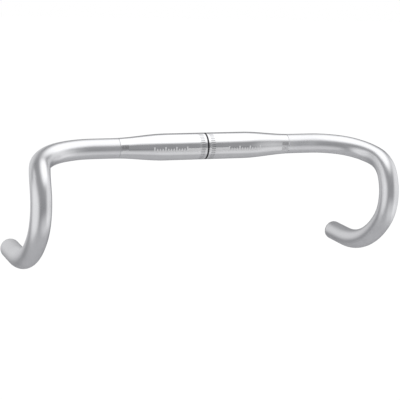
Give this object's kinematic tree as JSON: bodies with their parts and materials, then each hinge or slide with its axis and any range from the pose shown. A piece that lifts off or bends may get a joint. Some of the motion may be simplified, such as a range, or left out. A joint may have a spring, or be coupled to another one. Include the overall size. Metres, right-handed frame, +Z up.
{
  "type": "drop handlebar",
  "caption": "Drop handlebar for a road bicycle: bent satin aluminium tube with compact hooks, polished bulged centre sleeve for the stem clamp, and a push-in plug in each end.",
  "frame": {"origin": "centre of the stem clamp section, on the axis of the tops", "axes": "+X along the tops to the rider's left, -Y forwards (towards the front wheel), +Z up, with the straight grip ends of the drops level"},
  "size_m": [0.4604, 0.1465, 0.1584],
  "materials": {
    "satin_aluminium": "bead-blasted, clear anodised, soft satin sheen",
    "polished_aluminium": "polished bright, fine lengthwise polishing lines",
    "black_plastic": "moulded, fine matt texture"
  },
  "bodies": {
    "root": {"bar_tube": "satin_aluminium", "centre_sleeve": "polished_aluminium", "left_end_plug": "black_plastic", "right_end_plug": "black_plastic"}
  },
  "joints": []
}
